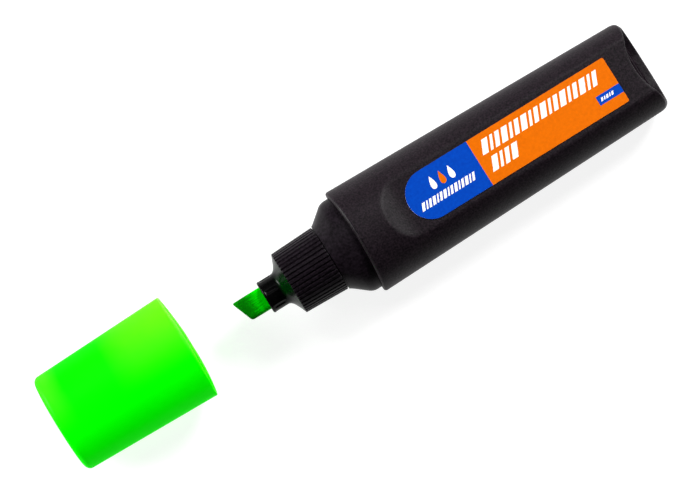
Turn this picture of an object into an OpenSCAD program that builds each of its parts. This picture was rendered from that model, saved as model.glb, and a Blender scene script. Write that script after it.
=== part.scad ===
// Flat-bodied highlighter with a pull-off cap, shown with the cap off and in line with the pen.
// Millimetres. +X runs from the cap towards the pen's rear end, +Z is up, and the underside lies on z = 0.

/* [Barrel] */
// width of the barrel at its open front end
barrel_w = 26; // [25.6:0.1:27]
// thickness of the barrel at its front end
barrel_t = 19; // [18.8:0.1:19.6]
// width of the barrel at its rear end
rear_w = 22.7; // [22:0.1:24]
// length from the front edge to the rear edge, at mid height
barrel_l = 77.2; // [74:0.2:84]
// wall of the barrel
wall = 1.3; // [1.1:0.05:1.5]
// radius of the curve of the front edge, seen from the side
mouth_r = 56; // [54:2:140]
// depth of the flat that the pen lies on
land = 0.35; // [0.25:0.05:0.5]

/* [Label facet] */
// width of the flat that carries the label
facet_w = 14.1; // [13:0.1:15]
// distance from the front edge to where the flat starts
facet_x = 14.1; // [13:0.1:18]
// radius of the scoop at the front of the flat
scoop_r = 11; // [9:0.5:14]
// length of the label
label_l = 54.8; // [46:0.2:55]
// width of the label
label_w = 11.5; // [10:0.1:12.5]
// thickness of the label
label_t = 0.12; // [0.08:0.02:0.2]

/* [Rear end] */
// slant of the rear end, so that the underside is longer
rear_slant = 12.4; // [6:0.2:15]
// radius of the corners of the rear end, seen from above
corner_r = 2; // [1:0.1:3]
// radius of the notch in the label side of the rear end
notch_r = 15; // [13:0.5:18]
// how far the notch reaches forwards of the rear edge at mid height
notch_d = 3.4; // [3:0.1:4.6]
// how deep the plug sits in the rear end
plug_recess = 1.6; // [1:0.1:2.4]
// length of the plug
plug_l = 6.5; // [5:0.1:7.5]

/* [Front section] */
// length of the smooth shoulder in front of the barrel
shoulder_l = 6.7; // [6.6:0.05:7.6]
// depth of the shoulder's skirt inside the barrel
skirt_l = 7.6; // [6:0.1:7.8]
// radius of the ribbed collar at its rear
collar_r = 8.05; // [7.8:0.01:8.07]
// radius of the ribbed collar at its front
collar_front_r = 7.67; // [7.3:0.01:7.7]
// length of the ribbed collar
collar_l = 10.8; // [9.4:0.05:11.2]
// number of grooves around the collar
rib_count = 46; // [36:1:50]
// radius of the bell where it leaves the collar
bell_r = 7.45; // [7:0.05:7.5]
// length of the bell
bell_l = 2.25; // [2:0.05:2.6]
// radius of the nozzle
nozzle_r = 4; // [3.9:0.05:4.05]
// length of the nozzle
nozzle_l = 4; // [3.8:0.1:5]

/* [Nib and ink] */
// width of the chisel nib
nib_w = 5.45; // [5:0.05:5.6]
// thickness of the chisel nib
nib_t = 4.4; // [3.8:0.05:4.6]
// how far the nib stands out of the nozzle
nib_out = 7.3; // [6.5:0.1:7.6]
// angle of the chisel edge
nib_angle = 28.8; // [20:0.2:34]
// radius of the ink reservoir
core_r = 5.3; // [4.8:0.05:5.3]
// length of the ink reservoir
core_l = 62; // [50:0.5:63]

/* [Cap] */
// width of the cap at its mouth
cap_w = 25.8; // [25.6:0.05:25.9]
// width of the cap at its closed end
cap_end_w = 23.9; // [23.9:0.1:24.6]
// length of the cap
cap_l = 33.8; // [33.8:0.1:37]
// thickness of the cap's end wall
cap_end = 1.2; // [1:0.05:1.4]
// distance from the cap's mouth to the barrel's front edge while the cap lies off
cap_gap = 44; // [40:0.5:60]

/* [Hidden] */
$fn = 128;
e = 0.06;
ratio = barrel_t / barrel_w;
zc = barrel_t / 2 - land;
rear_z = rear_w / 2 * ratio - barrel_t / 2;
reach = tan(rear_slant) * (zc + rear_z);
x0 = (cap_l + cap_gap - barrel_l - reach) / 2;
stub_w = barrel_w - 2 * wall - 2 * e;
stub_t = barrel_t - 2 * wall - 2 * e;
core_z = -2;
tip_x = -(shoulder_l + collar_l + bell_l + nozzle_l + nib_out);
bell_x = -(shoulder_l + collar_l);
nozzle_x = bell_x - bell_l;

// Half width of the barrel at a distance x behind its front edge.
function half_w(x) = (barrel_w + (rear_w - barrel_w) * x / barrel_l) / 2;

// Height of the barrel's middle above the pen's axis at x. The underside stays level, so it falls.
function mid_z(x) = half_w(x) * ratio - barrel_t / 2;

// Height of the label facet above the axis at x, for an even width of facet.
function facet_z(x) = mid_z(x) + ratio * sqrt(pow(half_w(x), 2) - pow(facet_w / 2, 2));

facet_slope = atan((facet_z(facet_x) - facet_z(barrel_l)) / (barrel_l - facet_x));

// Oval body along +X that tapers from w1 to w2 and falls by drop over its length.
// It is made as four quarters, which keeps each curved face simple.
module oval(w1, t1, w2, l, drop) {
    for (quarter = [0 : 3])
        multmatrix([[1, 0, 0, 0], [0, 1, 0, 0], [-drop / l, 0, 1, 0], [0, 0, 0, 1]])
            rotate([0, 90, 0])
                scale([t1 / w1, 1, 1])
                    intersection() {
                        cylinder(h = l, d1 = w1, d2 = w2);
                        rotate([0, 0, 90 * quarter])
                            translate([0, 0, -1])
                                cube([40, 40, l + 2]);
                    }
}

// The barrel's outside, made smaller all round by inset, between x1 and x2.
module barrel_oval(inset, x1, x2) {
    w1 = 2 * half_w(x1) - 2 * inset;
    w2 = 2 * half_w(x2) - 2 * inset;
    t1 = 2 * half_w(x1) * ratio - 2 * inset;
    t2 = w2 * t1 / w1;
    translate([x1, 0, mid_z(x1)])
        oval(w1, t1, w2, x2 - x1, (t1 - t2) / 2);
}

// Everything above the label facet, with the scoop at its front, lowered by inset.
module above_facet(inset) {
    translate([facet_x, 0, facet_z(facet_x)])
        rotate([0, facet_slope, 0]) {
            translate([0, -20, -inset])
                cube([90, 40, 30]);
            translate([0, 20, scoop_r])
                rotate([90, 0, 0])
                    cylinder(r = scoop_r + inset, h = 40);
        }
}

// Everything behind the slanted rear plane, moved forwards by back.
module behind_rear(back) {
    translate([barrel_l - back, 0, rear_z])
        rotate([0, -rear_slant, 0])
            translate([0, -20, -30])
                cube([30, 40, 60]);
}

// The two outer corners of the rear end, seen from above.
module rear_corners() {
    hw = half_w(barrel_l - corner_r);
    translate([barrel_l, 0, rear_z])
        rotate([0, -rear_slant, 0])
            for (side = [0, 1])
                mirror([0, side, 0])
                    translate([-corner_r, hw - corner_r, -20])
                        difference() {
                            cube([corner_r + 1, corner_r + 2, 40]);
                            translate([0, 0, -1])
                                cylinder(r = corner_r, h = 42);
                        }
}

// Everything in front of the curved front edge, moved towards the rear by x.
module before_mouth(x) {
    difference() {
        translate([x - 20, -20, -20])
            cube([24, 40, 40]);
        translate([x + mouth_r, 25, 0])
            rotate([90, 0, 0])
                cylinder(r = mouth_r, h = 50);
    }
}

// Everything below the flat that the pen lies on.
module below_land() {
    translate([-100, -20, -zc - 5])
        cube([240, 40, 5]);
}

// Moulded oval tube, with the label facet, the flat underside and the notched rear end.
module barrel() {
    color("#262126")
        translate([x0, 0, zc])
            difference() {
                barrel_oval(0, 0, barrel_l + 6);
                difference() {
                    barrel_oval(wall, -1, barrel_l + 7);
                    above_facet(wall);
                }
                above_facet(0);
                before_mouth(0);
                behind_rear(0);
                rear_corners();
                below_land();
                translate([barrel_l - notch_d + notch_r, 0, rear_z + 1])
                    cylinder(r = notch_r, h = 20);
            }
}

// Plug that closes the rear end: a plate with a skirt, open towards the front.
module end_plug() {
    color("#1d191c")
        translate([x0, 0, zc])
            difference() {
                barrel_oval(wall + e, barrel_l - 12, barrel_l + 4);
                above_facet(wall + e);
                behind_rear(plug_recess);
                translate([barrel_l - plug_recess - plug_l - 20, -20, -20])
                    cube([20, 40, 40]);
                difference() {
                    barrel_oval(wall + 1.3, barrel_l - 13, barrel_l + 3);
                    above_facet(wall + 1.3);
                    behind_rear(plug_recess + 1.6);
                }
            }
}

// Smooth shoulder: oval where it leaves the barrel, round where it meets the collar.
module shoulder() {
    color("#211d20")
        translate([x0, 0, zc])
            difference() {
                union() {
                    intersection() {
                        shoulder_turning();
                        translate([-shoulder_l, 0, 0])
                            oval(stub_w, stub_t, stub_w, shoulder_l + 1, 0);
                    }
                    barrel_oval(wall + 0.2, -0.6, skirt_l);
                    translate([bell_x + 0.4, 0, 0])
                        rotate([0, 90, 0])
                            cylinder(r = 6.5, h = collar_l);
                }
                translate([bell_x, 0, 0])
                    rotate([0, 90, 0])
                        cylinder(r = 5.3, h = collar_l - 1);
                translate([bell_x, 0, 0])
                    rotate([0, 90, 0])
                        cylinder(r = 3.3, h = 30);
                translate([2, 0, core_z])
                    rotate([0, 90, 0])
                        cylinder(r = core_r + 0.25, h = 20);
            }
}

// Turned shape of the shoulder, from the collar's rear face to inside the barrel.
module shoulder_turning() {
    a = 39.4;
    r = 3.15;
    top = stub_w / 2;
    neck_r = collar_r - 0.15;
    line_r = top - r + r * cos(a);
    line_x = shoulder_l - 1 - r * sin(a);
    translate([-shoulder_l, 0, 0])
        rotate([0, 90, 0])
            rotate_extrude() {
                polygon([[0, 0], [neck_r, 0], [neck_r, 0.05], [line_r, line_x],
                    [top - r, shoulder_l - 1], [top, shoulder_l - 1],
                    [top, shoulder_l + 1], [0, shoulder_l + 1]]);
                intersection() {
                    translate([top - r, shoulder_l - 1])
                        circle(r = r);
                    translate([0, 0])
                        square([top + 1, shoulder_l + 1]);
                }
            }
}

// Ribbed collar, a ring on the shoulder's neck.
module collar() {
    lean = atan((collar_r - collar_front_r) / collar_l);
    color("#1a171a")
        translate([x0 + bell_x, 0, zc])
            rotate([0, 90, 0])
                difference() {
                    cylinder(h = collar_l, r1 = collar_front_r, r2 = collar_r);
                    translate([0, 0, -1])
                        cylinder(h = collar_l + 2, r = 6.55);
                    for (i = [0 : rib_count - 1])
                        rotate([0, 0, (i + 0.5) * 360 / rib_count])
                            translate([collar_front_r + 0.06, 0, 0])
                                rotate([0, lean, 0])
                                    translate([0, 0, -1])
                                        cylinder(h = collar_l + 2, r = 0.34, $fn = 24);
                }
}

// Nib holder: a spigot in the neck, a hollow-curved bell and the vented nozzle.
module nib_holder() {
    color("#151316")
        translate([x0, 0, zc])
            difference() {
                union() {
                    translate([bell_x - e / 2, 0, 0])
                        rotate([0, -90, 0])
                            rotate_extrude()
                                bell_profile();
                    translate([nozzle_x - nozzle_l + 0.4, 0, 0])
                        rotate([0, 90, 0])
                            cylinder(r = nozzle_r, h = nozzle_l);
                    translate([nozzle_x - nozzle_l, 0, 0])
                        rotate([0, 90, 0])
                            cylinder(r1 = nozzle_r - 0.3, r2 = nozzle_r, h = 0.4);
                    translate([bell_x - 1, 0, 0])
                        rotate([0, 90, 0])
                            cylinder(r = 5.24, h = 8);
                }
                translate([nozzle_x - nozzle_l - 1, 0, 0])
                    rotate([0, 90, 0])
                        cylinder(r = 3.25, h = 30);
                for (i = [0 : 5])
                    rotate([i * 60 + 22, 0, 0])
                        translate([nozzle_x - nozzle_l + 0.9, 0, nozzle_r + 0.25])
                            rotate([0, 90, 0])
                                cylinder(r = 0.55, h = nozzle_l - 1.2, $fn = 32);
            }
}

// Half section of the bell: a cone hollowed by a circle.
module bell_profile() {
    difference() {
        polygon([[0, 0], [bell_r, 0], [bell_r, 0.25], [nozzle_r, bell_l], [0, bell_l]]);
        translate([bell_r + 2.1, bell_l + 3.4])
            circle(r = 5.2);
    }
}

// Chisel nib of bonded fibre, from the slanted tip back into the reservoir.
module nib() {
    lead = nib_w / 2 * tan(nib_angle);
    color("#12b312")
        translate([x0, 0, zc])
            difference() {
                intersection() {
                    translate([tip_x, -nib_w / 2, -nib_t / 2])
                        cube([9 - tip_x, nib_w, nib_t]);
                    translate([tip_x - 1, 0, 0])
                        rotate([0, 90, 0])
                            cylinder(r = 3.2, h = 40);
                }
                translate([tip_x + lead, 0, 0])
                    rotate([0, 0, nib_angle])
                        translate([-10, -10, -5])
                            cube([10, 20, 10]);
                for (side = [0, 1])
                    mirror([0, 0, side])
                        translate([tip_x + lead, 0, nib_t / 2 - 0.7])
                            rotate([0, 0, nib_angle])
                                rotate([0, -17, 0])
                                    translate([-10, -10, 0])
                                        cube([20, 20, 4]);
            }
}

// Ink reservoir: a rod of bonded fibre, with a hole for the nib's tail.
module reservoir() {
    color("#35c435")
        translate([x0 + 3, 0, zc + core_z])
            difference() {
                rotate([0, 90, 0])
                    cylinder(r = core_r, h = core_l);
                translate([-1, 0, -core_z])
                    rotate([0, 90, 0])
                        cylinder(r = 3.24, h = 7.5);
            }
}

// Clear film wrapped round the reservoir.
module reservoir_film() {
    color("#d9e6dd")
        translate([x0 + 3.4, 0, zc + core_z])
            rotate([0, 90, 0])
                difference() {
                    cylinder(r = core_r + 0.15, h = core_l - 0.8);
                    translate([0, 0, -1])
                        cylinder(r = core_r + 0.03, h = core_l + 2);
                }
}

// Printed sticker on the facet, round at its front.
module label() {
    color("#f67700")
        translate([x0 + facet_x, 0, zc + facet_z(facet_x)])
            rotate([0, facet_slope, 0])
                translate([0.05, 0, 0.01])
                    linear_extrude(height = label_t)
                        union() {
                            translate([label_w / 2, -label_w / 2])
                                square([label_l - label_w / 2, label_w]);
                            translate([label_w / 2, 0])
                                circle(d = label_w);
                        }
}

// Translucent cap: an oval cup that slides over the front of the pen.
module cap() {
    in_w = stub_w + 0.5;
    in_t = stub_t + 0.62;
    fall = (cap_w - cap_end_w) / cap_w;
    depth = cap_l - cap_end;
    color("#14e014")
        translate([x0 - cap_gap, 0, zc])
            difference() {
                translate([1, 0, 0])
                    mirror([1, 0, 0])
                        oval(cap_w, barrel_t - 0.14, cap_end_w, cap_l + 1, fall * barrel_t / 2);
                translate([1, 0, 0])
                    mirror([1, 0, 0])
                        oval(in_w, in_t, in_w * (1 - fall * 0.94), depth + 1, fall * barrel_t * 0.48);
                translate([-0.15, 0, 0])
                    translate([mouth_r, 25, 0])
                        rotate([90, 0, 0])
                            cylinder(r = mouth_r, h = 50);
                cap_corners();
                below_land();
            }
}

// The two outer corners of the cap's closed end, seen from above.
module cap_corners() {
    hw = cap_end_w / 2 + 0.04;
    r = 1.5;
    for (side = [0, 1])
        mirror([0, side, 0])
            translate([-cap_l + r, hw - r, -20])
                difference() {
                    translate([-r - 1, 0, 0])
                        cube([r + 1, r + 2, 40]);
                    translate([0, 0, -1])
                        cylinder(r = r, h = 42);
                }
}

// Inner seal: a thimble on the cap's end wall that closes round the nozzle.
module inner_seal() {
    open_x = -shoulder_l - collar_l - bell_l - 1;
    end_x = -cap_l + cap_end + 0.05;
    color("#2be52b")
        translate([x0 - cap_gap, 0, zc])
            difference() {
                translate([end_x, 0, 0])
                    rotate([0, 90, 0])
                        cylinder(r = 5.3, h = open_x - end_x);
                translate([end_x + 0.9, 0, 0])
                    rotate([0, 90, 0])
                        cylinder(r = 4.3, h = 30);
            }
}

barrel();
end_plug();
shoulder();
collar();
nib_holder();
nib();
reservoir();
reservoir_film();
label();
cap();
inner_seal();
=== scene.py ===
# %% [markdown]
# # A flat highlighter with its cap off
# The pen is a moulded oval tube with a chisel nib, and the cap lies in front of it on the same line.
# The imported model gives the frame: every piece here is built in the same axes, in metres, with +X
# from the cap towards the pen's rear end and +Z up through the label.

# %% Load the frame
import math
import bpy
import numpy as np
from mathutils import Matrix, Vector
from mathutils.geometry import delaunay_2d_cdt


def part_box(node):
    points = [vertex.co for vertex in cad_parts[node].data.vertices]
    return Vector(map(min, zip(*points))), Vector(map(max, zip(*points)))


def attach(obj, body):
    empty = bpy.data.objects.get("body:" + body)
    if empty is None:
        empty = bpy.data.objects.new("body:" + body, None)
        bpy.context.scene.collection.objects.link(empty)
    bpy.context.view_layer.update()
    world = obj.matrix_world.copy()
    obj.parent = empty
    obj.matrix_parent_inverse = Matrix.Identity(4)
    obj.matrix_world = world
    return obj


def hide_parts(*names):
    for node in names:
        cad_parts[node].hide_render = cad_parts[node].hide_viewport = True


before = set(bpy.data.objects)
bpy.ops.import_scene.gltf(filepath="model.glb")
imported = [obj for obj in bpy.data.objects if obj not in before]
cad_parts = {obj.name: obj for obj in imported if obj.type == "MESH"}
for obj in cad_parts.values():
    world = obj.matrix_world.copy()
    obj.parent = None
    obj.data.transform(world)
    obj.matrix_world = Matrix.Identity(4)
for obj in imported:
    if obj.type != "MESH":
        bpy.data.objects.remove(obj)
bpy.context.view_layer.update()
print("nodes:", sorted(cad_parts))

# %% [markdown]
# The drawing's own sizes, in millimetres. Lengths along the pen start at the barrel's front edge, at
# mid height, and heights start at the pen's axis, so each piece can be checked against a calliper.
# LAND is the height of the flat that the pen lies on, and LAND_SOFT rounds its long edges. FACET is
# the label's flat, and SCOOP_R the curve in front of it. EDGE_R curves the front edge, seen from the
# side. NOTCH, CORNER_R and SLANT shape the rear end.

# %% Sizes in millimetres
BARREL_W, BARREL_T, REAR_W, BARREL_L, WALL = 26.0, 19.0, 22.7, 77.2, 1.3
RATIO = BARREL_T / BARREL_W
LAND, LAND_SOFT = -9.15, 0.25
FACET_W, FACET_X, SCOOP_R = 14.1, 14.1, 11.0
EDGE_R = 56.0
NOTCH_R, NOTCH_D, CORNER_R = 15.0, 3.4, 2.0
SLANT = math.tan(math.radians(12.4))
REAR_Z = REAR_W / 2 * RATIO - BARREL_T / 2
CAP_GAP, CAP_L, CAP_W, CAP_T, CAP_END_W, CAP_END = 44.0, 33.8, 25.8, 18.86, 23.9, 1.2
FRONT = 1000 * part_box("barrel")[0].x
AXIS = -LAND
print("front edge at x =", round(FRONT, 3), "mm, axis at z =", AXIS, "mm")

# %% [markdown]
# A few small helpers serve every piece. Points are worked out in millimetres from the drawing and
# only become metres in one place. A moulded piece is a skin of rings: each ring is one section, and quads
# join each ring to the next. It is cleaner than booleans, and the edge radii are simply more rings.

# %% Mesh helpers
def place(points):
    """Drawing millimetres to metres in the frame."""
    points = np.asarray(points, float)
    return (points + np.array([FRONT, 0.0, AXIS])) / 1000.0


def object_from(name, points, faces, material, smooth_angle=40):
    mesh = bpy.data.meshes.new(name)
    mesh.from_pydata([tuple(p) for p in points], [], faces)
    mesh.validate()
    mesh.shade_smooth()
    mesh.set_sharp_from_angle(angle=math.radians(smooth_angle))
    piece = bpy.data.objects.new(name, mesh)
    bpy.context.scene.collection.objects.link(piece)
    mesh.materials.append(material)
    return piece


def skin(name, rings, material, ends=(None, None), loop=False, smooth_angle=40):
    """Rings of equal count joined by quads. An end given as a point closes that end with a fan."""
    rings = np.asarray(rings, float)
    m, n, _ = rings.shape
    points = place(rings.reshape(-1, 3)).tolist()
    faces = []
    for i in range(m if loop else m - 1):
        a, b = i * n, ((i + 1) % m) * n
        for j in range(n):
            k = (j + 1) % n
            faces.append((a + j, a + k, b + k, b + j))
    for end, row in zip(ends, (0, (m - 1) * n)):
        if end is None:
            continue
        points.append(place([end])[0].tolist())
        centre = len(points) - 1
        for j in range(n):
            k = (j + 1) % n
            pair = (row + k, row + j) if row == 0 else (row + j, row + k)
            faces.append(pair + (centre,))
    piece = object_from(name, points, faces, material, smooth_angle)
    print(f"{name}: {len(faces)} faces")
    return piece


def soft_min(a, b, k):
    """The smaller of a and b, with the corner between them rounded over a width of about k."""
    h = np.clip(0.5 + 0.5 * (b - a) / k, 0.0, 1.0)
    return b * (1 - h) + a * h - k * h * (1 - h)


def run(start, stop, count, crowd=0.0):
    """Count steps from start to just before stop, crowded towards start (-) or stop (+)."""
    t = np.arange(count) / count
    power = 1 + abs(crowd)
    t = 1 - (1 - t) ** power if crowd > 0 else t ** power
    return start + (stop - start) * t

# %% [markdown]
# Colours are written as the hex values a paint chart would give, and turned to linear light in one
# function. One more function adds a shader node with its settings and its links. The specular levels
# further down are well below the usual 0.5: the table glows and fills half of what these surfaces can
# mirror, so full reflections would turn black plastic grey and wash the colours out.

# %% Material helpers
def colour(code):
    parts = [int(code[i:i + 2], 16) / 255 for i in (1, 3, 5)]
    linear = [p / 12.92 if p <= 0.04045 else ((p + 0.055) / 1.055) ** 2.4 for p in parts]
    return (*linear, 1.0)


def add(tree, kind, values=None, links=None, **settings):
    node = tree.nodes.new(kind)
    for key, value in settings.items():
        setattr(node, key, value)
    for key, value in (values or {}).items():
        node.inputs[key].default_value = value
    for key, socket in (links or {}).items():
        tree.links.new(socket, node.inputs[key])
    return node


def new_material(name):
    material = bpy.data.materials.new(name)
    material.use_nodes = True
    tree = material.node_tree
    return material, tree, tree.nodes["Principled BSDF"]


def ramp_colours(node, stops):
    ramp = node.color_ramp
    while len(ramp.elements) < len(stops):
        ramp.elements.new(0.5)
    for element, (position, code) in zip(ramp.elements, stops):
        element.position = position
        element.color = colour(code)

# %% [markdown]
# ## The camera
# The pen is looked down on from above its nib, and from a little to the near side. The lens is long,
# 128 mm on a 36 mm sensor, so both ends come out at almost the same scale and little of the sides is
# seen. The picture is turned so that the pen rises from lower left to upper right.

# %% Camera
TURN = 31.79
eye = Vector(place([-23.9, -29.4, 560.0]))
aim = Vector(place([-1.14, 0.18, 0.0]))
back = (eye - aim).normalized()
along = Vector((1, 0, 0))
along = (along - along.dot(back) * back).normalized()
across = back.cross(along)
turn = math.radians(TURN)
right = math.cos(turn) * along - math.sin(turn) * across
up = math.sin(turn) * along + math.cos(turn) * across
camera = bpy.data.objects.new("camera", bpy.data.cameras.new("camera"))
camera.data.lens = 128.1
camera.data.sensor_width = 36.0
camera.data.clip_start = 0.01
camera.matrix_world = Matrix((
    (right.x, up.x, back.x, eye.x),
    (right.y, up.y, back.y, eye.y),
    (right.z, up.z, back.z, eye.z),
    (0, 0, 0, 1)))
bpy.context.scene.collection.objects.link(camera)
bpy.context.scene.camera = camera
print("camera at", [round(v, 4) for v in eye])

# %% [markdown]
# ## Floor and light
# A white laminate table and three soft boxes. The table glows a little, so that it stays white right
# up to the pen and the shadows on it stay faint. The key box stands beyond the pen's rear end, so the
# surfaces that face that way are lighter and the near sides fall dark. The low box stands beyond the
# nib, and a weak one hangs overhead. The world stays dim, because black plastic shows its
# surroundings as a veil of grey: it only brightens a little towards the horizon beyond the nib.

# %% Floor and light
table, tree, shader = new_material("white_laminate")
grain = add(tree, "ShaderNodeTexNoise", {"Scale": 9.0, "Detail": 3.0})
shade = add(tree, "ShaderNodeValToRGB", links={"Fac": grain.outputs["Fac"]})
ramp_colours(shade, [(0.3, "#908f8f"), (0.7, "#969696")])
tree.links.new(shade.outputs["Color"], shader.inputs["Base Color"])
shader.inputs["Emission Color"].default_value = (1, 1, 1, 1)
shader.inputs["Emission Strength"].default_value = 0.88
shader.inputs["Roughness"].default_value = 0.6
shader.inputs["Specular IOR Level"].default_value = 0.2
floor_mesh = bpy.data.meshes.new("floor")
floor_mesh.from_pydata([(-3, -3, 0), (3, -3, 0), (3, 3, 0), (-3, 3, 0)], [], [(0, 1, 2, 3)])
floor = bpy.data.objects.new("floor", floor_mesh)
floor_mesh.materials.append(table)
bpy.context.scene.collection.objects.link(floor)

world = bpy.data.worlds.new("room")
world.use_nodes = True
room = world.node_tree
sky = room.nodes["Background"]
view = add(room, "ShaderNodeTexCoord")
toward = add(room, "ShaderNodeVectorMath", {1: (-0.62, 0.55, -0.30)}, {0: view.outputs["Generated"]},
    operation="DOT_PRODUCT")
glow = add(room, "ShaderNodeMapRange", {"From Min": 0.0, "From Max": 0.85, "To Min": 0.01, "To Max": 0.16},
    {"Value": toward.outputs["Value"]})
room.links.new(glow.outputs["Result"], sky.inputs["Strength"])
bpy.context.scene.world = world


def soft_box(name, where, size, watts):
    light = bpy.data.lights.new(name, "AREA")
    light.shape = "RECTANGLE"
    light.size, light.size_y = size
    light.energy = watts
    lamp = bpy.data.objects.new(name, light)
    lamp.location = where
    lamp.rotation_euler = (-Vector(where)).to_track_quat("-Z", "Y").to_euler()
    bpy.context.scene.collection.objects.link(lamp)
    return lamp


soft_box("key_box", (0.74, 0.38, 0.66), (0.30, 0.30), 13.8)
soft_box("low_box", (-0.84, 0.62, 0.42), (0.5, 0.3), 18.0)
soft_box("top_box", (0.00, 0.55, 1.00), (0.4, 0.4), 0.9)
bpy.context.scene.view_settings.view_transform = "Standard"

# %% [markdown]
# ## Materials
# ### Barrel: polypropylene, moulded against a spark-eroded tool
# Almost every marker barrel is polypropylene. The tool's fine pitting gives a dry, even grain that
# spreads highlights wide. Real grain is about 0.1 mm, which is finer than the render can show, so it
# is drawn at 0.4 mm, and a second slow noise stands for handling marks that polish it here and there.

# %% Barrel plastic
barrel_pp, tree, shader = new_material("grained_polypropylene")
where = add(tree, "ShaderNodeTexCoord")
pits = add(tree, "ShaderNodeTexNoise", {"Scale": 2500.0, "Detail": 2.0, "Roughness": 0.6},
    {"Vector": where.outputs["Object"]})
rubbed = add(tree, "ShaderNodeTexNoise", {"Scale": 160.0, "Detail": 4.0},
    {"Vector": where.outputs["Object"]})
tone = add(tree, "ShaderNodeValToRGB", links={"Fac": pits.outputs["Fac"]})
ramp_colours(tone, [(0.36, "#070307"), (0.66, "#21191f")])
dryness = add(tree, "ShaderNodeMapRange", {"To Min": 0.44, "To Max": 0.54},
    {"Value": rubbed.outputs["Fac"]})
relief = add(tree, "ShaderNodeBump", {"Strength": 0.6, "Distance": 0.00010},
    {"Height": pits.outputs["Fac"]})
tree.links.new(tone.outputs["Color"], shader.inputs["Base Color"])
tree.links.new(dryness.outputs["Result"], shader.inputs["Roughness"])
tree.links.new(relief.outputs["Normal"], shader.inputs["Normal"])
shader.inputs["IOR"].default_value = 1.49
shader.inputs["Specular IOR Level"].default_value = 0.15
print("grain drawn at", round(1000 / 2500, 2), "mm")

# %% [markdown]
# ### Rear plug: the same grain, gone dull
# The plug is a moulding of its own with the same grain. Dust gathers in its recess and dulls it, so
# the barrel's material is copied and its mirror-like part is turned almost off.

# %% Plug plastic
plug_pp = barrel_pp.copy()
plug_pp.name = "matt_polypropylene"
plug_shader = plug_pp.node_tree.nodes["Principled BSDF"]
plug_shader.inputs["Specular IOR Level"].default_value = 0.01
print("plug finish:", plug_pp.name)

# %% [markdown]
# ### Shoulder and collar: the same plastic from a smoother tool
# The front section is moulded in satin polypropylene. It is as black as the barrel but reflects more
# clearly, so its roundness shows as broad soft bands. The flow marks of the melt are far finer than
# the 0.5 mm they are drawn at.

# %% Satin plastic
satin_pp, tree, shader = new_material("satin_polypropylene")
where = add(tree, "ShaderNodeTexCoord")
flow = add(tree, "ShaderNodeTexNoise", {"Scale": 1900.0, "Detail": 3.0, "Roughness": 0.6},
    {"Vector": where.outputs["Object"]})
tone = add(tree, "ShaderNodeValToRGB", links={"Fac": flow.outputs["Fac"]})
ramp_colours(tone, [(0.36, "#070407"), (0.66, "#1a141a")])
gloss = add(tree, "ShaderNodeMapRange", {"To Min": 0.36, "To Max": 0.46},
    {"Value": flow.outputs["Fac"]})
relief = add(tree, "ShaderNodeBump", {"Strength": 0.08, "Distance": 0.00005},
    {"Height": flow.outputs["Fac"]})
tree.links.new(tone.outputs["Color"], shader.inputs["Base Color"])
tree.links.new(gloss.outputs["Result"], shader.inputs["Roughness"])
tree.links.new(relief.outputs["Normal"], shader.inputs["Normal"])
shader.inputs["IOR"].default_value = 1.49
shader.inputs["Specular IOR Level"].default_value = 0.095

# %% [markdown]
# ### Nib holder: the same plastic from a polished tool
# The bell and the nozzle seal against the inside of the cap, so their tool is polished. They show
# sharp highlights. A thin dark green band along the middle of the bell is a painted reflection of
# the green nib and cap, put into the base colour.

# %% Polished plastic
polished_pp, tree, shader = new_material("polished_polypropylene")
where = add(tree, "ShaderNodeTexCoord")
smear = add(tree, "ShaderNodeTexNoise", {"Scale": 700.0, "Detail": 2.0},
    {"Vector": where.outputs["Object"]})
tone = add(tree, "ShaderNodeValToRGB", links={"Fac": smear.outputs["Fac"]})
ramp_colours(tone, [(0.35, "#040404"), (0.70, "#080708")])
gloss = add(tree, "ShaderNodeMapRange", {"To Min": 0.16, "To Max": 0.34},
    {"Value": smear.outputs["Fac"]})
parts = add(tree, "ShaderNodeSeparateXYZ", links={"Vector": where.outputs["Object"]})
aside = add(tree, "ShaderNodeMath", links={0: parts.outputs["Y"]}, operation="ABSOLUTE")
in_line = add(tree, "ShaderNodeMapRange", {"From Min": 0.0012, "From Max": 0.0034, "To Min": 1.0,
    "To Max": 0.0}, {"Value": aside.outputs["Value"]}, interpolation_type="SMOOTHSTEP")
bell_middle = place([-18.4, 0, 0])[0]
past = add(tree, "ShaderNodeMath", {1: bell_middle}, {0: parts.outputs["X"]}, operation="SUBTRACT")
either_way = add(tree, "ShaderNodeMath", links={0: past.outputs["Value"]}, operation="ABSOLUTE")
on_bell = add(tree, "ShaderNodeMapRange", {"From Min": 0.0010, "From Max": 0.0016, "To Min": 1.0,
    "To Max": 0.0}, {"Value": either_way.outputs["Value"]})
# Painted reflection: a dark green band along the middle of the bell, where it would mirror the nib.
painted_reflection_mask = add(tree, "ShaderNodeMath", {}, {0: in_line.outputs["Result"], 1: on_bell.outputs["Result"]},
    operation="MULTIPLY")
with_painted_reflection = add(tree, "ShaderNodeMixRGB", {"Color2": colour("#001e03")}, {"Fac": painted_reflection_mask.outputs["Value"],
    "Color1": tone.outputs["Color"]})
tree.links.new(with_painted_reflection.outputs["Color"], shader.inputs["Base Color"])
tree.links.new(gloss.outputs["Result"], shader.inputs["Roughness"])
shader.inputs["IOR"].default_value = 1.49
shader.inputs["Specular IOR Level"].default_value = 0.065
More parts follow.
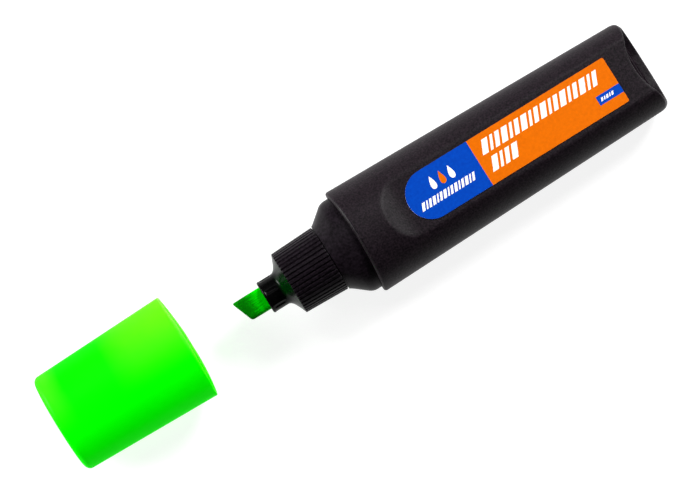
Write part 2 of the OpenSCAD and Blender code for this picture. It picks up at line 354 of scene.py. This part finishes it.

# %% [markdown]
# ### Nib: polyester fibre, bonded and ground to a chisel
# The fibres run along the nib. Its colour is painted brightest by the nozzle and darker at the middle
# of the ground faces: painted light and shade. Fibres are about 0.03 mm thick, too fine to show, so
# they are drawn at about 0.2 mm.

# %% Nib fibre
nib_fibre, tree, shader = new_material("bonded_polyester_fibre")
nib_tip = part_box("nib")[0].x
where = add(tree, "ShaderNodeTexCoord")
long_way = add(tree, "ShaderNodeMapping", {"Scale": (0.08, 1.0, 1.0)},
    {"Vector": where.outputs["Object"]})
strands = add(tree, "ShaderNodeTexNoise", {"Scale": 5200.0, "Detail": 3.0},
    {"Vector": long_way.outputs["Vector"]})
parts = add(tree, "ShaderNodeSeparateXYZ", links={"Vector": where.outputs["Object"]})
# Painted light and shade: the fibre is painted brighter towards the nozzle and darker on the ground faces.
painted_nozzle_light = add(tree, "ShaderNodeMapRange", {"From Min": nib_tip, "From Max": nib_tip + 0.0075,
    "To Min": 0.15, "To Max": 0.65}, {"Value": parts.outputs["X"]})
fibres_and_painted_light = add(tree, "ShaderNodeMath", {1: 0.4}, {0: strands.outputs["Fac"], 2: painted_nozzle_light.outputs["Result"]},
    operation="MULTIPLY_ADD")
tone = add(tree, "ShaderNodeValToRGB", links={"Fac": fibres_and_painted_light.outputs["Value"]})
ramp_colours(tone, [(0.25, "#0aa406"), (0.48, "#005c00"), (0.62, "#007400"), (0.78, "#00cc00")])
relief = add(tree, "ShaderNodeBump", {"Strength": 0.5, "Distance": 0.00006},
    {"Height": strands.outputs["Fac"]})
tree.links.new(tone.outputs["Color"], shader.inputs["Base Color"])
tree.links.new(relief.outputs["Normal"], shader.inputs["Normal"])
shader.inputs["Roughness"].default_value = 0.7
shader.inputs["Specular IOR Level"].default_value = 0.02

# %% [markdown]
# ### Cap: translucent fluorescent polypropylene
# The cap is tinted with a fluorescent dye and has no filler, so light enters it, scatters and comes
# back greener: a little emission, a painted glow, stands for the dye. It is painted paler at the mouth
# and at the closed end, where edges gather light, and deeper in between, where the thimble stands
# behind the wall. The side that faces the key light is painted a little paler, a painted highlight.

# %% Cap plastic
cap_pp, tree, shader = new_material("fluorescent_polypropylene")
cap_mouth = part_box("cap")[1].x
where = add(tree, "ShaderNodeTexCoord")
clouds = add(tree, "ShaderNodeTexNoise", {"Scale": 60.0, "Detail": 3.0},
    {"Vector": where.outputs["Object"]})
parts = add(tree, "ShaderNodeSeparateXYZ", links={"Vector": where.outputs["Object"]})
# Painted light: paler at the mouth and the closed end, deeper where the thimble stands behind the wall.
depth = add(tree, "ShaderNodeMapRange", {"From Min": cap_mouth, "From Max": cap_mouth - CAP_L / 1000},
    {"Value": parts.outputs["X"]})
cloudy = add(tree, "ShaderNodeMath", {1: 0.10}, {0: clouds.outputs["Fac"]}, operation="MULTIPLY")
spot = add(tree, "ShaderNodeMath", {}, {0: depth.outputs["Result"], 1: cloudy.outputs["Value"]},
    operation="ADD")
key_side_tone = add(tree, "ShaderNodeValToRGB", links={"Fac": spot.outputs["Value"]})
ramp_colours(key_side_tone, [(0.04, "#b0ff70"), (0.09, "#58f810"), (0.40, "#44f20c"), (0.60, "#08e600"),
    (0.90, "#04e600"), (1.0, "#38f010")])
far_side_tone = add(tree, "ShaderNodeValToRGB", links={"Fac": spot.outputs["Value"]})
ramp_colours(far_side_tone, [(0.040, "#90ff38"), (0.075, "#06e800"), (0.50, "#00e400"), (1.0, "#04e600")])
# Painted highlight: the side towards the key light takes the paler tone, the far side the deeper one.
side = add(tree, "ShaderNodeMapRange", {"From Min": -0.004, "From Max": 0.009},
    {"Value": parts.outputs["Y"]}, interpolation_type="SMOOTHSTEP")
tone = add(tree, "ShaderNodeMixRGB", {}, {"Fac": side.outputs["Result"], "Color1": far_side_tone.outputs["Color"],
    "Color2": key_side_tone.outputs["Color"]})
gloss = add(tree, "ShaderNodeMapRange", {"To Min": 0.30, "To Max": 0.40},
    {"Value": clouds.outputs["Fac"]})
tree.links.new(tone.outputs["Color"], shader.inputs["Base Color"])
tree.links.new(gloss.outputs["Result"], shader.inputs["Roughness"])
shader.inputs["IOR"].default_value = 1.49
shader.inputs["Specular IOR Level"].default_value = 0.002
# Painted glow: a little green emission stands for the dye's fluorescence.
shader.inputs["Emission Color"].default_value = colour("#00ff00")
shader.inputs["Emission Strength"].default_value = 0.30
shader.inputs["Transmission Weight"].default_value = 0.08
shader.inputs["Subsurface Weight"].default_value = 0.35
shader.inputs["Subsurface Radius"].default_value = (0.2, 1.0, 0.2)
shader.inputs["Subsurface Scale"].default_value = 0.0015

# %% [markdown]
# ### Label: paper-thin polypropylene film, printed and varnished
# Three inks: blue, orange and the white of the film itself. The varnish gives all three one soft
# gloss. Each ink has a faint mottle, as flexographic print has.

# %% Label inks
def ink(name, dark, light):
    material, tree, shader = new_material(name)
    where = add(tree, "ShaderNodeTexCoord")
    mottle = add(tree, "ShaderNodeTexNoise", {"Scale": 1500.0, "Detail": 4.0},
        {"Vector": where.outputs["Object"]})
    tone = add(tree, "ShaderNodeValToRGB", links={"Fac": mottle.outputs["Fac"]})
    ramp_colours(tone, [(0.3, dark), (0.7, light)])
    tree.links.new(tone.outputs["Color"], shader.inputs["Base Color"])
    shader.inputs["Roughness"].default_value = 0.42
    shader.inputs["IOR"].default_value = 1.47
    shader.inputs["Specular IOR Level"].default_value = 0.07
    return material


orange_ink = ink("orange_ink", "#d26200", "#de6a00")
blue_ink = ink("blue_ink", "#003ca6", "#0044b2")
white_film = ink("white_film", "#f4efe8", "#fbf8f4")

# %% [markdown]
# ## Barrel
# On the real pen the barrel is one moulding: an oval tube that tapers to the rear, with a flat for
# the label. The flat starts in a scoop and cuts off the top of the oval, so its long edges are where
# plane and oval meet. A soft minimum of the two heights gives that edge its moulded radius. Grid
# lines follow the edge, so it stays crisp.

# %% Barrel section
def half_width(s):
    return (BARREL_W + (REAR_W - BARREL_W) * s / BARREL_L) / 2


def middle(s):
    return half_width(s) * RATIO - BARREL_T / 2


def facet_height(s):
    return middle(s) + RATIO * np.sqrt(half_width(s) ** 2 - (FACET_W / 2) ** 2)


FACET_SLOPE = (facet_height(FACET_X) - facet_height(BARREL_L)) / (BARREL_L - FACET_X)


def facet_top(s):
    """Height of the label flat, with the scoop's curve in front of it."""
    flat = facet_height(FACET_X) - FACET_SLOPE * (s - FACET_X)
    lead = np.clip(FACET_X - s, 0, SCOOP_R * 0.999)
    return flat + SCOOP_R - np.sqrt(SCOOP_R ** 2 - lead ** 2) + 30 * np.clip(FACET_X - SCOOP_R - s, 0, 1)


def barrel_at(s, t, inset):
    """A point of the wall at a distance s behind the front edge, t round the oval, inset inwards."""
    wide = half_width(s) - inset
    tall = half_width(s) * RATIO - inset
    y = wide * np.cos(t)
    z = middle(s) + tall * np.sin(t)
    z = soft_min(z, facet_top(s) - inset, 0.3)
    z = -soft_min(-z, -(LAND + inset), LAND_SOFT)
    return np.stack([s + 0 * t, y, z], axis=-1)


def barrel_angles(s):
    """Angles of one ring, with lines on the edges of the label flat and of the flat underneath."""
    edge = math.acos(FACET_W / 2 / half_width(s))
    foot = math.asin(max(-1.0, (LAND - middle(s)) / (half_width(s) * RATIO)))
    half = np.concatenate([run(-math.pi / 2, foot, 6), run(foot, 0, 16), run(0, edge, 22, 0.8),
        run(edge, math.pi / 2, 24, -0.8), [math.pi / 2]])
    other = math.pi - half[::-1]
    return np.concatenate([half, other[1:-1]])

# %% [markdown]
# The front edge is gently curved seen from the side. The rear end is cut on a slant, its corners are
# rounded, and a notch is cut in the label side. Each ring point is carried to its own end, so the
# rims come out smooth, and small quarter rounds finish the inner and outer edges.

# %% Barrel ends
REAR_S = 75.0


def front_edge(z):
    return EDGE_R - np.sqrt(EDGE_R ** 2 - z ** 2)


def rear_edge(p):
    """Where the rear end lies for a point of the wall: slant, rounded corners and notch."""
    y, z = p[..., 1], p[..., 2]
    end = BARREL_L - SLANT * (z - REAR_Z)
    corner = np.clip(np.abs(y) - (REAR_W / 2 + 0.04 - CORNER_R), 0, 0.9995 * CORNER_R)
    end = end - (CORNER_R - np.sqrt(CORNER_R ** 2 - corner ** 2))
    notch = BARREL_L - NOTCH_D + NOTCH_R - np.sqrt(NOTCH_R ** 2 - np.clip(np.abs(y), 0, 12) ** 2)
    high = np.clip((z - REAR_Z - 1.0) / 1.5, 0, 1)
    notch = notch + (1 - high) * 20
    return soft_min(end, notch, 0.7)


def quarter(radius, steps, outer):
    """Insets and setbacks of a quarter round on an edge."""
    swing = np.linspace(0, math.pi / 2, steps)
    if not outer:
        swing = swing[::-1]
    return [(radius * (1 - math.cos(a)), radius * (1 - math.sin(a))) for a in swing]


# %% [markdown]
# The skin starts at the front rim, runs back along the outside, over the rear rim and forwards along
# the bore, and closes on itself. The stations are close together where the scoop curves.

# %% Barrel
rings = []
t_front, t_rear = barrel_angles(0.0), barrel_angles(REAR_S)
stations = np.concatenate([[1.2, 2.4, 4.0, 5.6, 6.8], np.arange(7.4, 15.01, 0.2),
    [15.5, 16.5, 18.5, 22, 27, 33, 40, 47, 54, 60, 65, 68]])


def front_ring(inset, setback):
    p = barrel_at(np.zeros_like(t_front), t_front, inset)
    return barrel_at(front_edge(p[..., 2]) + setback, t_front, inset)


def rear_ring(inset, setback, share=1.0, base=68.0):
    s = np.full_like(t_rear, REAR_S)
    for _ in range(4):
        s = rear_edge(barrel_at(s, t_rear, inset)) - setback
    return barrel_at(base + (s - base) * share, t_rear, inset)


for inset, setback in quarter(0.65, 7, True)[::-1]:
    rings.append(front_ring(inset, setback))
for s in stations:
    rings.append(barrel_at(np.full_like(t_front, s), barrel_angles(s), 0.0))
for share in (0.25, 0.45, 0.62, 0.76, 0.87, 0.95):
    rings.append(rear_ring(0.0, 0.4, share))
for inset, setback in quarter(0.4, 6, True):
    rings.append(rear_ring(inset, setback))
for inset, setback in quarter(0.35, 5, False):
    rings.append(rear_ring(WALL - inset, setback))
for s in (66, 50, 30, 16, 14, 12, 10, 8, 5):
    rings.append(barrel_at(np.full_like(t_front, float(s)), barrel_angles(float(s)), WALL))
for inset, setback in quarter(0.3, 4, True):
    rings.append(front_ring(WALL - inset, setback))
barrel = skin("barrel_tube", rings, barrel_pp, loop=True, smooth_angle=60)
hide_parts("barrel")
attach(barrel, "pen")

# %% [markdown]
# ## Rear plug
# A cup pressed into the rear end after filling. Only its outer plate shows, a little below the rim,
# with a rounded edge that carries a thin highlight. It follows the inside of the barrel with a hair
# of clearance.

# %% Rear plug
PLUG_GAP, PLUG_RECESS = 0.07, 1.6


def plug_ring(inset, depth):
    s = np.full_like(t_rear, REAR_S)
    p = barrel_at(s, t_rear, WALL + PLUG_GAP + inset)
    end = BARREL_L - SLANT * (p[..., 2] - REAR_Z) - PLUG_RECESS - depth
    return barrel_at(end, t_rear, WALL + PLUG_GAP + inset)


def plug_plate(scale, depth):
    ring = plug_ring(0.5, depth)
    centre = ring.mean(axis=0)
    return centre + (ring - centre) * scale


rings = [plug_plate(k, 0.35 if k < 0.8 else 0.0) for k in (0.3, 0.6, 0.78, 0.82, 0.93)]
for inset, setback in quarter(0.5, 6, True)[::-1]:
    rings.append(plug_ring(inset, setback))
for depth in (2.0, 4.0, 6.4):
    rings.append(plug_ring(0.0, depth))
rings.append(plug_ring(1.2, 6.4))
rings.append(plug_ring(1.2, 2.6))
plug = skin("rear_plug", rings[::-1], plug_pp,
    ends=(rings[-1].mean(axis=0), rings[0].mean(axis=0)), smooth_angle=50)
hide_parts("end_plug")
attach(plug, "pen")

# %% [markdown]
# ## Shoulder
# The front section is oval where it leaves the barrel and round where it meets the collar. It is a
# loft: the half width follows an ogee, the half height hardly changes, and each section is an
# ellipse of those two. The step between barrel and shoulder is where the cap's wall sits. A groove
# 0.2 mm wide is left behind the collar, where the joint between the two shows as a dark seam.

# %% Shoulder
SHOULDER_L, STUB_A, STUB_B, NECK_R = 6.7, 11.64, 8.14, 7.9


def shoulder_half(s):
    """Half width: straight stub, round brow, 39 degree flank, small hollow at the neck."""
    brow_r, flank = 3.15, math.radians(39.4)
    x = -1.0 - s
    past_brow = x - brow_r * math.sin(flank)
    if x <= 0:
        r = STUB_A
    elif past_brow < 0:
        r = STUB_A - brow_r + math.sqrt(brow_r ** 2 - x ** 2)
    else:
        r = STUB_A - brow_r + brow_r * math.cos(flank) - past_brow * math.tan(flank)
    return float(-soft_min(np.float64(-r), np.float64(-NECK_R), 0.9))


angles = np.linspace(0, 2 * math.pi, 144, endpoint=False)


def oval_ring(s, wide, tall, drop=0.0):
    return np.stack([s + 0 * angles, wide * np.cos(angles), drop + tall * np.sin(angles)], axis=-1)


seam_s, seam_r = -SHOULDER_L + 0.02, NECK_R - 0.18
rings = [oval_ring(seam_s, 6.6, 6.6), oval_ring(seam_s, seam_r, seam_r)]
rings.append(oval_ring(seam_s + 0.2, seam_r, seam_r))
for s in np.concatenate([np.linspace(-SHOULDER_L + 0.25, -0.6, 34), [0.0, 1.5, 5.0]]):
    tall = NECK_R + (STUB_B - NECK_R) * np.clip((s + SHOULDER_L) / 4.5, 0, 1)
    rings.append(oval_ring(s, shoulder_half(s), tall))
for s, inset in ((5.0, 0.6), (7.0, 0.9)):
    rings.append(oval_ring(s, STUB_A - inset, STUB_B - inset, -0.1))
shoulder = skin("shoulder_front", rings, satin_pp, ends=((seam_s, 0, 0), (7.0, 0, 0)))
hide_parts("shoulder")
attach(shoulder, "pen")
print("shoulder half width at the neck:", round(shoulder_half(-7.0), 2))

# %% [markdown]
# ## Ribbed collar
# The ribs let the fingers grip the pen and the cap's wall hold on it. Forty-six grooves run along a
# slightly tapered ring. The ring's radius is a repeated profile: a rounded top and a narrow groove.

# %% Ribbed collar
RIBS, COLLAR_L, COLLAR_REAR, COLLAR_FRONT = 46, 10.8, 8.05, 7.67
PER_RIB, GROOVE_D = 12, 0.34
rib_angles = np.arange(RIBS * PER_RIB) * 2 * math.pi / (RIBS * PER_RIB)
phase = (np.arange(RIBS * PER_RIB) % PER_RIB) / PER_RIB
groove = np.clip(1 - np.abs(phase - 0.5) / 0.24, 0, 1)
groove = GROOVE_D * groove ** 0.7


def collar_ring(s, lower, depth=1.0):
    """A ribbed ring at s, lowered all round, with a share of the grooves' depth."""
    r = COLLAR_REAR + (COLLAR_FRONT - COLLAR_REAR) * (-SHOULDER_L - s) / COLLAR_L
    r = r - lower - groove * depth
    return np.stack([s + 0 * r, r * np.cos(rib_angles), r * np.sin(rib_angles)], axis=-1)


front_s, rear_s = -SHOULDER_L - COLLAR_L, -SHOULDER_L
rings = [collar_ring(front_s, 1.0, 0.0), collar_ring(front_s, 0.35, 0.4), collar_ring(front_s, 0.12)]
rings += [collar_ring(front_s + 0.05, 0.04), collar_ring(front_s + 0.14, 0.0)]
rings += [collar_ring(s, 0.0) for s in np.linspace(front_s + 1, rear_s - 1, 7)]
rings += [collar_ring(rear_s - 0.14, 0.0), collar_ring(rear_s - 0.05, 0.04)]
rings += [collar_ring(rear_s, 0.12), collar_ring(rear_s, 0.4, 0.4), collar_ring(rear_s, 1.0, 0.0)]
collar = skin("ribbed_collar", rings, satin_pp, loop=True, smooth_angle=50)
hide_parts("collar")
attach(collar, "pen")

# %% [markdown]
# ## Bell and nozzle
# The nib holder is round in section: a hollow-curved bell and a short nozzle with a rounded lip. Six
# shallow flutes along the nozzle let air back into the barrel as ink leaves it. It is a lathe of one
# profile, with the flutes pressed into the radius.

# %% Bell and nozzle
BELL_S, BELL_L, BELL_R, NOZZLE_R, NOZZLE_L, BEAD = front_s, 2.25, 7.45, 3.92, 4.0, 0.42
FLUTES, FLUTE_D = 6, 0.16
lathe = np.linspace(0, 2 * math.pi, 180, endpoint=False)
flute = np.zeros_like(lathe)
for i in range(FLUTES):
    centre = math.radians(22 + 360 / FLUTES * i)
    gap = np.abs((lathe - centre + math.pi) % (2 * math.pi) - math.pi)
    flute += FLUTE_D * np.clip(1 - (gap / 0.135) ** 2, 0, 1)


def turned(s, r, depth=0.0):
    """A round ring at s, with a share of the flutes' depth."""
    r = r - flute * depth
    return np.stack([s + 0 * r, r * np.cos(lathe), r * np.sin(lathe)], axis=-1)


def bell_radius(share):
    """Hollow curve from the nozzle (0) to the collar (1)."""
    return NOZZLE_R + (BELL_R - NOZZLE_R) * share - 0.9 * math.sin(math.pi * share) * (1 - 0.35 * share)


lip_s = BELL_S - BELL_L - NOZZLE_L
rings = [turned(lip_s + 4, 3.25), turned(lip_s + 0.25, 3.25), turned(lip_s + 0.08, 3.32), turned(lip_s, 3.45)]
rings += [turned(lip_s + BEAD * (1 - math.cos(a)), 3.58 + BEAD * math.sin(a))
    for a in np.linspace(0.3, math.pi - 0.9, 8)]
rings += [turned(lip_s + 0.85, NOZZLE_R, 0.3), turned(lip_s + 1.1, NOZZLE_R, 0.8)]
rings += [turned(s, NOZZLE_R, 1.0) for s in np.linspace(lip_s + 1.3, lip_s + NOZZLE_L - 0.9, 6)]
rings += [turned(lip_s + NOZZLE_L - 0.5, NOZZLE_R, 0.6), turned(lip_s + NOZZLE_L - 0.2, NOZZLE_R)]
for share in np.linspace(0.0, 1.0, 14):
    rings.append(turned(BELL_S - BELL_L * (1 - share) - 0.03, max(bell_radius(share), NOZZLE_R)))
rings += [turned(BELL_S - 0.02, BELL_R - 0.5), turned(BELL_S - 0.02, 5.2)]
holder = skin("bell_and_nozzle", rings, polished_pp, smooth_angle=50)
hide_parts("nib_holder")
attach(holder, "pen")

# %% [markdown]
# ## Nib
# A bar of bonded fibre with a slanted, wedge-shaped end. The wedge draws a broad line on its face
# and a thin one on its corner. The ring points are carried to the slanted end one by one, and the
# edges are slightly worn.

# %% Nib
NIB_W, NIB_T, NIB_L, NIB_TIP, NIB_TAN = 5.45, 4.4, 14.0, lip_s - 7.05, math.tan(math.radians(20.7))


def nib_outline(count=28, corner=0.75):
    """Rounded rectangle, going round from the +Y side."""
    points = []
    for cy, cz, start in ((1, 1, 0), (-1, 1, 90), (-1, -1, 180), (1, -1, 270)):
        for k in range(count // 4 + 1):
            a = math.radians(start + 90 * k / (count // 4))
            points.append((cy * (NIB_W / 2 - corner) + corner * math.cos(a),
                cz * (NIB_T / 2 - corner) + corner * math.sin(a)))
    return np.array(points)


outline = nib_outline()


def nib_ring(distance, shrink_y=0.0, shrink_z=0.0):
    """A ring at a distance behind the slanted end."""
    y = outline[:, 0] * (1 - 2 * shrink_y / NIB_W)
    z = outline[:, 1] * (1 - 2 * shrink_z / NIB_T)
    lead = (NIB_W / 2 - y) * NIB_TAN
    share = 1.0 if distance < 4 else max(0.0, 1 - (distance - 4) / 4)
    return np.stack([NIB_TIP + distance + lead * share, y, z], axis=-1)


wedge = [(0.0, 0.50, 1.62), (0.02, 0.34, 1.46), (0.10, 0.16, 1.32), (0.26, 0.05, 1.22), (0.5, 0.0, 1.12)]
wedge += [(1.2, 0.0, 0.80), (2.0, 0.0, 0.44), (2.7, 0.0, 0.14), (2.9, 0.0, 0.06), (3.15, 0.0, 0.01)]
rings = [nib_ring(*step) for step in wedge + [(3.5, 0.0, 0.0)]]
rings += [nib_ring(4.0), nib_ring(6.0), nib_ring(9.0), nib_ring(NIB_L)]
tip_middle = (NIB_TIP + NIB_W / 2 * NIB_TAN, 0, 0)
nib = skin("chisel_nib", rings, nib_fibre, ends=(tip_middle, (NIB_TIP + NIB_L, 0, 0)), smooth_angle=50)
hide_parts("nib")
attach(nib, "pen")

# %% [markdown]
# ## Label
# The sticker keeps the layout of its kind: a blue front with a round end, an orange field and a small
# blue tag. Three ink drops stand where a maker would print a mark, and rows of slanted strokes, like
# the ones this pen draws, where there would be words. The art is cut into one flat mesh, a face
# belonging to one ink only, so no layer lies on another and the print's edges stay sharp.

# %% Label art
LABEL_L, LABEL_W, LABEL_T, LABEL_CORNER, LEAN = 54.8, 11.5, 0.12, 0.45, 0.45


def stroke(x, width, y1, y2):
    """One slanted stroke with blunt ends."""
    rise = y2 - y1
    return [(x, y1), (x + width, y1), (x + width + LEAN * rise, y2), (x + LEAN * rise, y2)]


def strokes(x1, x2, y1, y2, widths, gap):
    """A band of strokes between x1 and x2, in the widths given, over and over."""
    band, x, i = [], x1, 0
    while x + widths[i % len(widths)] + LEAN * (y2 - y1) <= x2 + 0.01:
        band.append((stroke(x, widths[i % len(widths)], y1, y2), white_film))
        x += widths[i % len(widths)] + gap
        i += 1
    return band


def panel(x1, x2, y1, y2):
    return [(x1, y1), (x2, y1), (x2, y2), (x1, y2)]


def drop(x, y, size):
    """A plain ink drop, point upwards."""
    points = []
    for k in range(40):
        a = 2 * math.pi * k / 40
        narrow = math.sin(a / 2) ** 1.4
        points.append((x - size * 0.62 * math.sin(a) * narrow, y + size * math.cos(a)))
    return points


def sticker():
    """The label's outline: a half circle in front and two small corners behind."""
    r = LABEL_W / 2
    front = [(r + r * math.cos(a), r * math.sin(a)) for a in np.linspace(math.pi / 2, 3 * math.pi / 2, 49)]
    c = LABEL_CORNER
    low = [(LABEL_L - c + c * math.sin(a), -r + c - c * math.cos(a)) for a in np.linspace(0, math.pi / 2, 7)]
    high = [(LABEL_L - c + c * math.cos(a), r - c + c * math.sin(a)) for a in np.linspace(0, math.pi / 2, 7)]
    return front + low + high


# %% [markdown]
# The layout, in millimetres from the label's front end. Each shape is printed over those before it.

# %% Label layout
shapes = [(sticker(), orange_ink)]
front_part = [p for p in sticker() if p[0] < LABEL_W / 2 + 0.001]
BLUE_L = 18.55
shapes.append((front_part + [(BLUE_L, -LABEL_W / 2), (BLUE_L, LABEL_W / 2)], blue_ink))
shapes += strokes(20.2, 52.9, 1.05, 4.25, (1.5, 0.7, 1.1), 0.62)
shapes += strokes(20.2, 28.7, -3.3, -0.05, (1.5, 0.7, 1.1), 0.62)
shapes.append((panel(48.6, LABEL_L, -3.3, -1.1), blue_ink))
shapes += strokes(49.3, 53.2, -2.6, -1.8, (0.5, 0.3), 0.28)
shapes += strokes(2.0, 16.6, -2.65, -0.85, (0.75, 0.4, 0.6), 0.36)
for x, ink_used in ((7.3, white_film), (9.7, orange_ink), (12.1, white_film)):
    shapes.append((drop(x, 1.9, 1.6), ink_used))
print("label shapes:", len(shapes))

# %% [markdown]
# The outlines go through a constrained triangulation, which returns, for each small face, the shapes
# that cover it. The last shape printed wins. A rim of quads then gives the film its thickness, and a
# hair of space under it stands for the glue.

# %% Label mesh
points, loops = [], []
for outline_points, _ in shapes:
    loops.append(list(range(len(points), len(points) + len(outline_points))))
    points += [Vector(p) for p in outline_points]
flat, _, cut, _, _, covers = delaunay_2d_cdt(points, [], loops, 1, 1e-5)
facet_turn = math.atan(FACET_SLOPE)
base = np.array([FACET_X, 0.0, float(facet_height(FACET_X))])
LABEL_START, GLUE = 0.05, 0.01


def on_facet(x, y, lift):
    """A point of the label, at a lift above the flat."""
    x = x + LABEL_START
    return base + np.array([x * math.cos(facet_turn) + lift * math.sin(facet_turn), y,
        -x * math.sin(facet_turn) + lift * math.cos(facet_turn)])


inks = [orange_ink, blue_ink, white_film]
top = [on_facet(p.x, p.y, GLUE + LABEL_T) for p in flat]
faces, slots = [], []
for face, covered in zip(cut, covers):
    if not covered:
        continue
    faces.append(tuple(face))
    slots.append(inks.index(shapes[max(covered)][1]))
rim = sticker()
start = len(top)
for lift in (GLUE + LABEL_T, GLUE):
    top += [on_facet(px, py, lift) for px, py in rim]
count = len(rim)
for j in range(count):
    k = (j + 1) % count
    faces.append((start + j, start + k, start + count + k, start + count + j))
    slots.append(2)
label = object_from("printed_label", place(np.array(top)).tolist(), faces, orange_ink, 30)
for material in inks[1:]:
    label.data.materials.append(material)
label.data.polygons.foreach_set("material_index", slots)
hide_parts("label")
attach(label, "pen")
print("label faces:", len(faces), "area in mm2:", round(sum(p.area for p in label.data.polygons) * 1e6, 1))

# %% [markdown]
# ## Cap
# The cap is an oval cup with a wall of about 1 mm and a closed, rounded end. Its mouth is curved to
# fit the barrel's front edge. The skin runs from the middle of the end, over the edge, along the
# outside, round the lip and back along the inside, so it is one closed shell with real thickness,
# as a translucent material needs.

# %% Cap
CAP_ORIGIN = -CAP_GAP
FALL = 1 - CAP_END_W / CAP_W
BORE_W, BORE_T, BORE_TAPER = 23.78, 16.9, 0.94
LIP_GAP, END_ROUND, LIP_ROUND = 0.15, 1.4, 0.22


def cap_outside(c, t, inset):
    """Outer face at a distance c from the mouth. It narrows, and its middle falls as it does."""
    part = (c + 1) / (CAP_L + 1)
    wide = CAP_W * (1 - FALL * part) / 2
    tall = wide * CAP_T / CAP_W
    y = (wide - inset) * np.cos(t)
    z = -BARREL_T / 2 * FALL * part + (tall - inset) * np.sin(t)
    z = -soft_min(-z, -(LAND + inset), LAND_SOFT)
    return np.stack([CAP_ORIGIN - c + 0 * t, y, z], axis=-1)


def cap_inside(c, t, inset):
    """Inner face, which narrows a little less than the outer face."""
    part = (c + 1) / (CAP_L - CAP_END + 1)
    shrink = 1 - FALL * BORE_TAPER * part
    y = (BORE_W / 2 * shrink - inset) * np.cos(t)
    z = -0.48 * BARREL_T * FALL * part + (BORE_T / 2 * shrink - inset) * np.sin(t)
    return np.stack([CAP_ORIGIN - c + 0 * t, y, z], axis=-1)


def mouth(side, inset, setback):
    """A ring on the curved lip, which leaves a thin gap to the barrel's front edge."""
    p = side(np.zeros_like(angles), angles, inset)
    return side(LIP_GAP - front_edge(p[..., 2]) + setback, angles, inset)


# %% [markdown]
# The rings go out from the middle of the closed end and over its rounded edge, on to the lip, and
# back along the inside to the end wall.

# %% Cap shell
full = np.ones_like(angles)
end_face = cap_outside(full * CAP_L, angles, END_ROUND)
end_middle = end_face.mean(axis=0)
rings = []
for k in (0.15, 0.35, 0.55, 0.75, 0.9):
    ring = end_middle + (end_face - end_middle) * k
    ring[:, 0] = CAP_ORIGIN - CAP_L
    rings.append(ring)
for inset, setback in quarter(END_ROUND, 9, True)[::-1]:
    rings.append(cap_outside(full * (CAP_L - setback), angles, inset))
for c in (31, 27, 22, 17, 12, 8, 4, 2, 1):
    rings.append(cap_outside(full * c, angles, 0.0))
for inset, setback in quarter(LIP_ROUND, 4, True):
    rings.append(mouth(cap_outside, inset, setback))
for inset, setback in quarter(0.2, 4, False):
    rings.append(mouth(cap_inside, -inset, setback))
for c in (1, 2, 4, 8, 12, 17, 22, 27, 31):
    rings.append(cap_inside(full * c, angles, 0.0))
for inset, setback in quarter(1.0, 5, True):
    rings.append(cap_inside(full * (CAP_L - CAP_END - setback), angles, inset))
inner_middle = rings[-1].mean(axis=0)
for k in (0.7, 0.4):
    rings.append(inner_middle + (rings[-1] - inner_middle) * k)
cap = skin("cap_shell", rings, cap_pp,
    ends=((CAP_ORIGIN - CAP_L, 0, end_middle[2]), tuple(inner_middle)), smooth_angle=60)
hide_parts("cap")
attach(cap, "cap")

# %% [markdown]
# ## Pieces that keep their drawn shape
# The thimble inside the cap, the ink rod and its film are plain turned shapes, so the drawn solids
# stay as they are and only get their finish. The thimble is moulded in the cap's plastic.

# %% Inner pieces
film, tree, shader = new_material("clear_film")
where = add(tree, "ShaderNodeTexCoord")
creases = add(tree, "ShaderNodeTexNoise", {"Scale": 240.0}, {"Vector": where.outputs["Object"]})
relief = add(tree, "ShaderNodeBump", {"Strength": 0.2, "Distance": 0.0001},
    {"Height": creases.outputs["Fac"]})
tree.links.new(relief.outputs["Normal"], shader.inputs["Normal"])
shader.inputs["Base Color"].default_value = colour("#e8efe9")
shader.inputs["Roughness"].default_value = 0.15
shader.inputs["Alpha"].default_value = 0.4
for name, material in (("inner_seal", cap_pp), ("reservoir", nib_fibre), ("reservoir_film", film)):
    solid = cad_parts[name]
    solid.data.materials.clear()
    solid.data.materials.append(material)
    print(name, "keeps its solid, finish", material.name)
